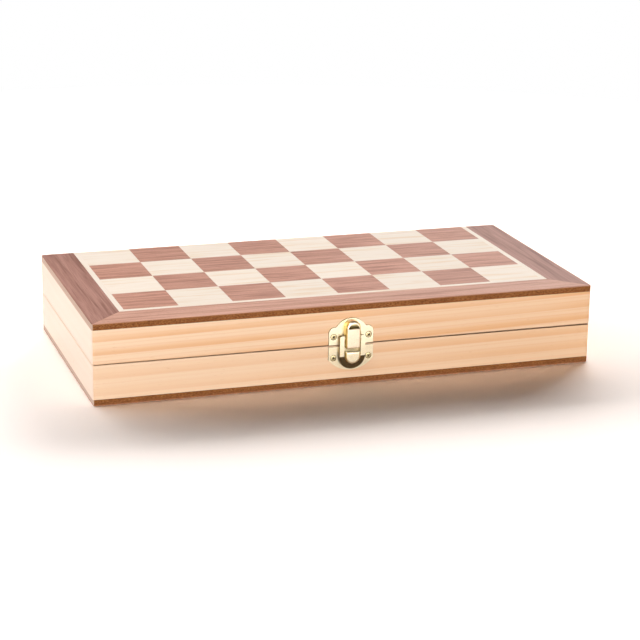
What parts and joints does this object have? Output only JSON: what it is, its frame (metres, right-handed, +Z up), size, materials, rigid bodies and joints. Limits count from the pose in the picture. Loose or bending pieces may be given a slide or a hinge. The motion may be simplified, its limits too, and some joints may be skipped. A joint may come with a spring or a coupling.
{
  "type": "folding magnetic chess set",
  "caption": "Folding wooden chess board that shuts into a box for its magnetic men, with two butt hinges and a brass toggle latch.",
  "frame": {"origin": "centre of the closed box's underside, leaving out the latch and the hinge knuckles", "axes": "+X along the box to the right, +Y from the latch to the hinges, +Z up through the lid"},
  "size_m": [0.29, 0.1521, 0.046],
  "materials": {
    "pine": "satin lacquered pine with soft grain along each rail",
    "fibreboard": "bare fibreboard edge, brown with pale specks",
    "walnut_veneer": "satin lacquered reddish-brown veneer with dark streaks",
    "maple_veneer": "satin lacquered cream veneer with faint grain",
    "steel": "thin mild steel sheet, hidden under the veneer",
    "foam": "closed-cell foam sheet with cut pockets",
    "magnet": "rubber-bonded ferrite disc",
    "boxwood": "turned pale wood, lacquered",
    "stained_wood": "turned wood stained dark brown, lacquered",
    "brass": "bright stamped brass, lightly polished"
  },
  "bodies": {
    "base": {"base_back_rail": "pine", "base_border_veneer": "walnut_veneer", "base_dark_squares": "walnut_veneer", "base_foam_insert": "foam", "base_front_rail": "pine", "base_hinge_screws": "brass", "base_left_rail": "pine", "base_light_line": "maple_veneer", "base_light_squares": "maple_veneer", "base_panel": "fibreboard", "base_right_rail": "pine", "base_steel_sheet": "steel", "catch_plate": "brass", "catch_screws": "brass", "left_hinge_base_leaf": "brass", "left_hinge_pin": "brass", "right_hinge_base_leaf": "brass", "right_hinge_pin": "brass", "white_bishops": "boxwood", "white_king": "boxwood", "white_knights": "boxwood", "white_magnets": "magnet", "white_pawns": "boxwood", "white_queen": "boxwood", "white_rooks": "boxwood"},
    "lid": {"black_bishops": "stained_wood", "black_king": "stained_wood", "black_knights": "stained_wood", "black_magnets": "magnet", "black_pawns": "stained_wood", "black_queen": "stained_wood", "black_rooks": "stained_wood", "latch_lever_pin": "brass", "latch_plate": "brass", "latch_screws": "brass", "left_hinge_lid_leaf": "brass", "lid_back_rail": "pine", "lid_border_veneer": "walnut_veneer", "lid_dark_squares": "walnut_veneer", "lid_foam_insert": "foam", "lid_front_rail": "pine", "lid_hinge_screws": "brass", "lid_left_rail": "pine", "lid_light_line": "maple_veneer", "lid_light_squares": "maple_veneer", "lid_panel": "fibreboard", "lid_right_rail": "pine", "lid_steel_sheet": "steel", "right_hinge_lid_leaf": "brass"},
    "latch_lever": {"latch_lever": "brass"},
    "latch_loop": {"latch_loop": "brass"}
  },
  "joints": [
    {"name": "lid_hinge", "type": "hinge", "parent": "base", "child": "lid", "pos_m": [0, 0.0727, 0.023], "axis": [-1, 0, 0], "range_deg": [0, 180]},
    {"name": "latch_lever_swing", "type": "hinge", "parent": "lid", "child": "latch_lever", "pos_m": [0, -0.0757, 0.0236], "axis": [1, 0, 0], "range_deg": [0, 100]},
    {"name": "latch_loop_swing", "type": "hinge", "parent": "latch_lever", "child": "latch_loop", "pos_m": [0, -0.0757, 0.0277], "axis": [1, 0, 0], "range_deg": [-100, 0]}
  ],
  "couplings": [
    {"joint": "latch_loop_swing", "follows": "latch_lever_swing", "ratio": -1}
  ]
}
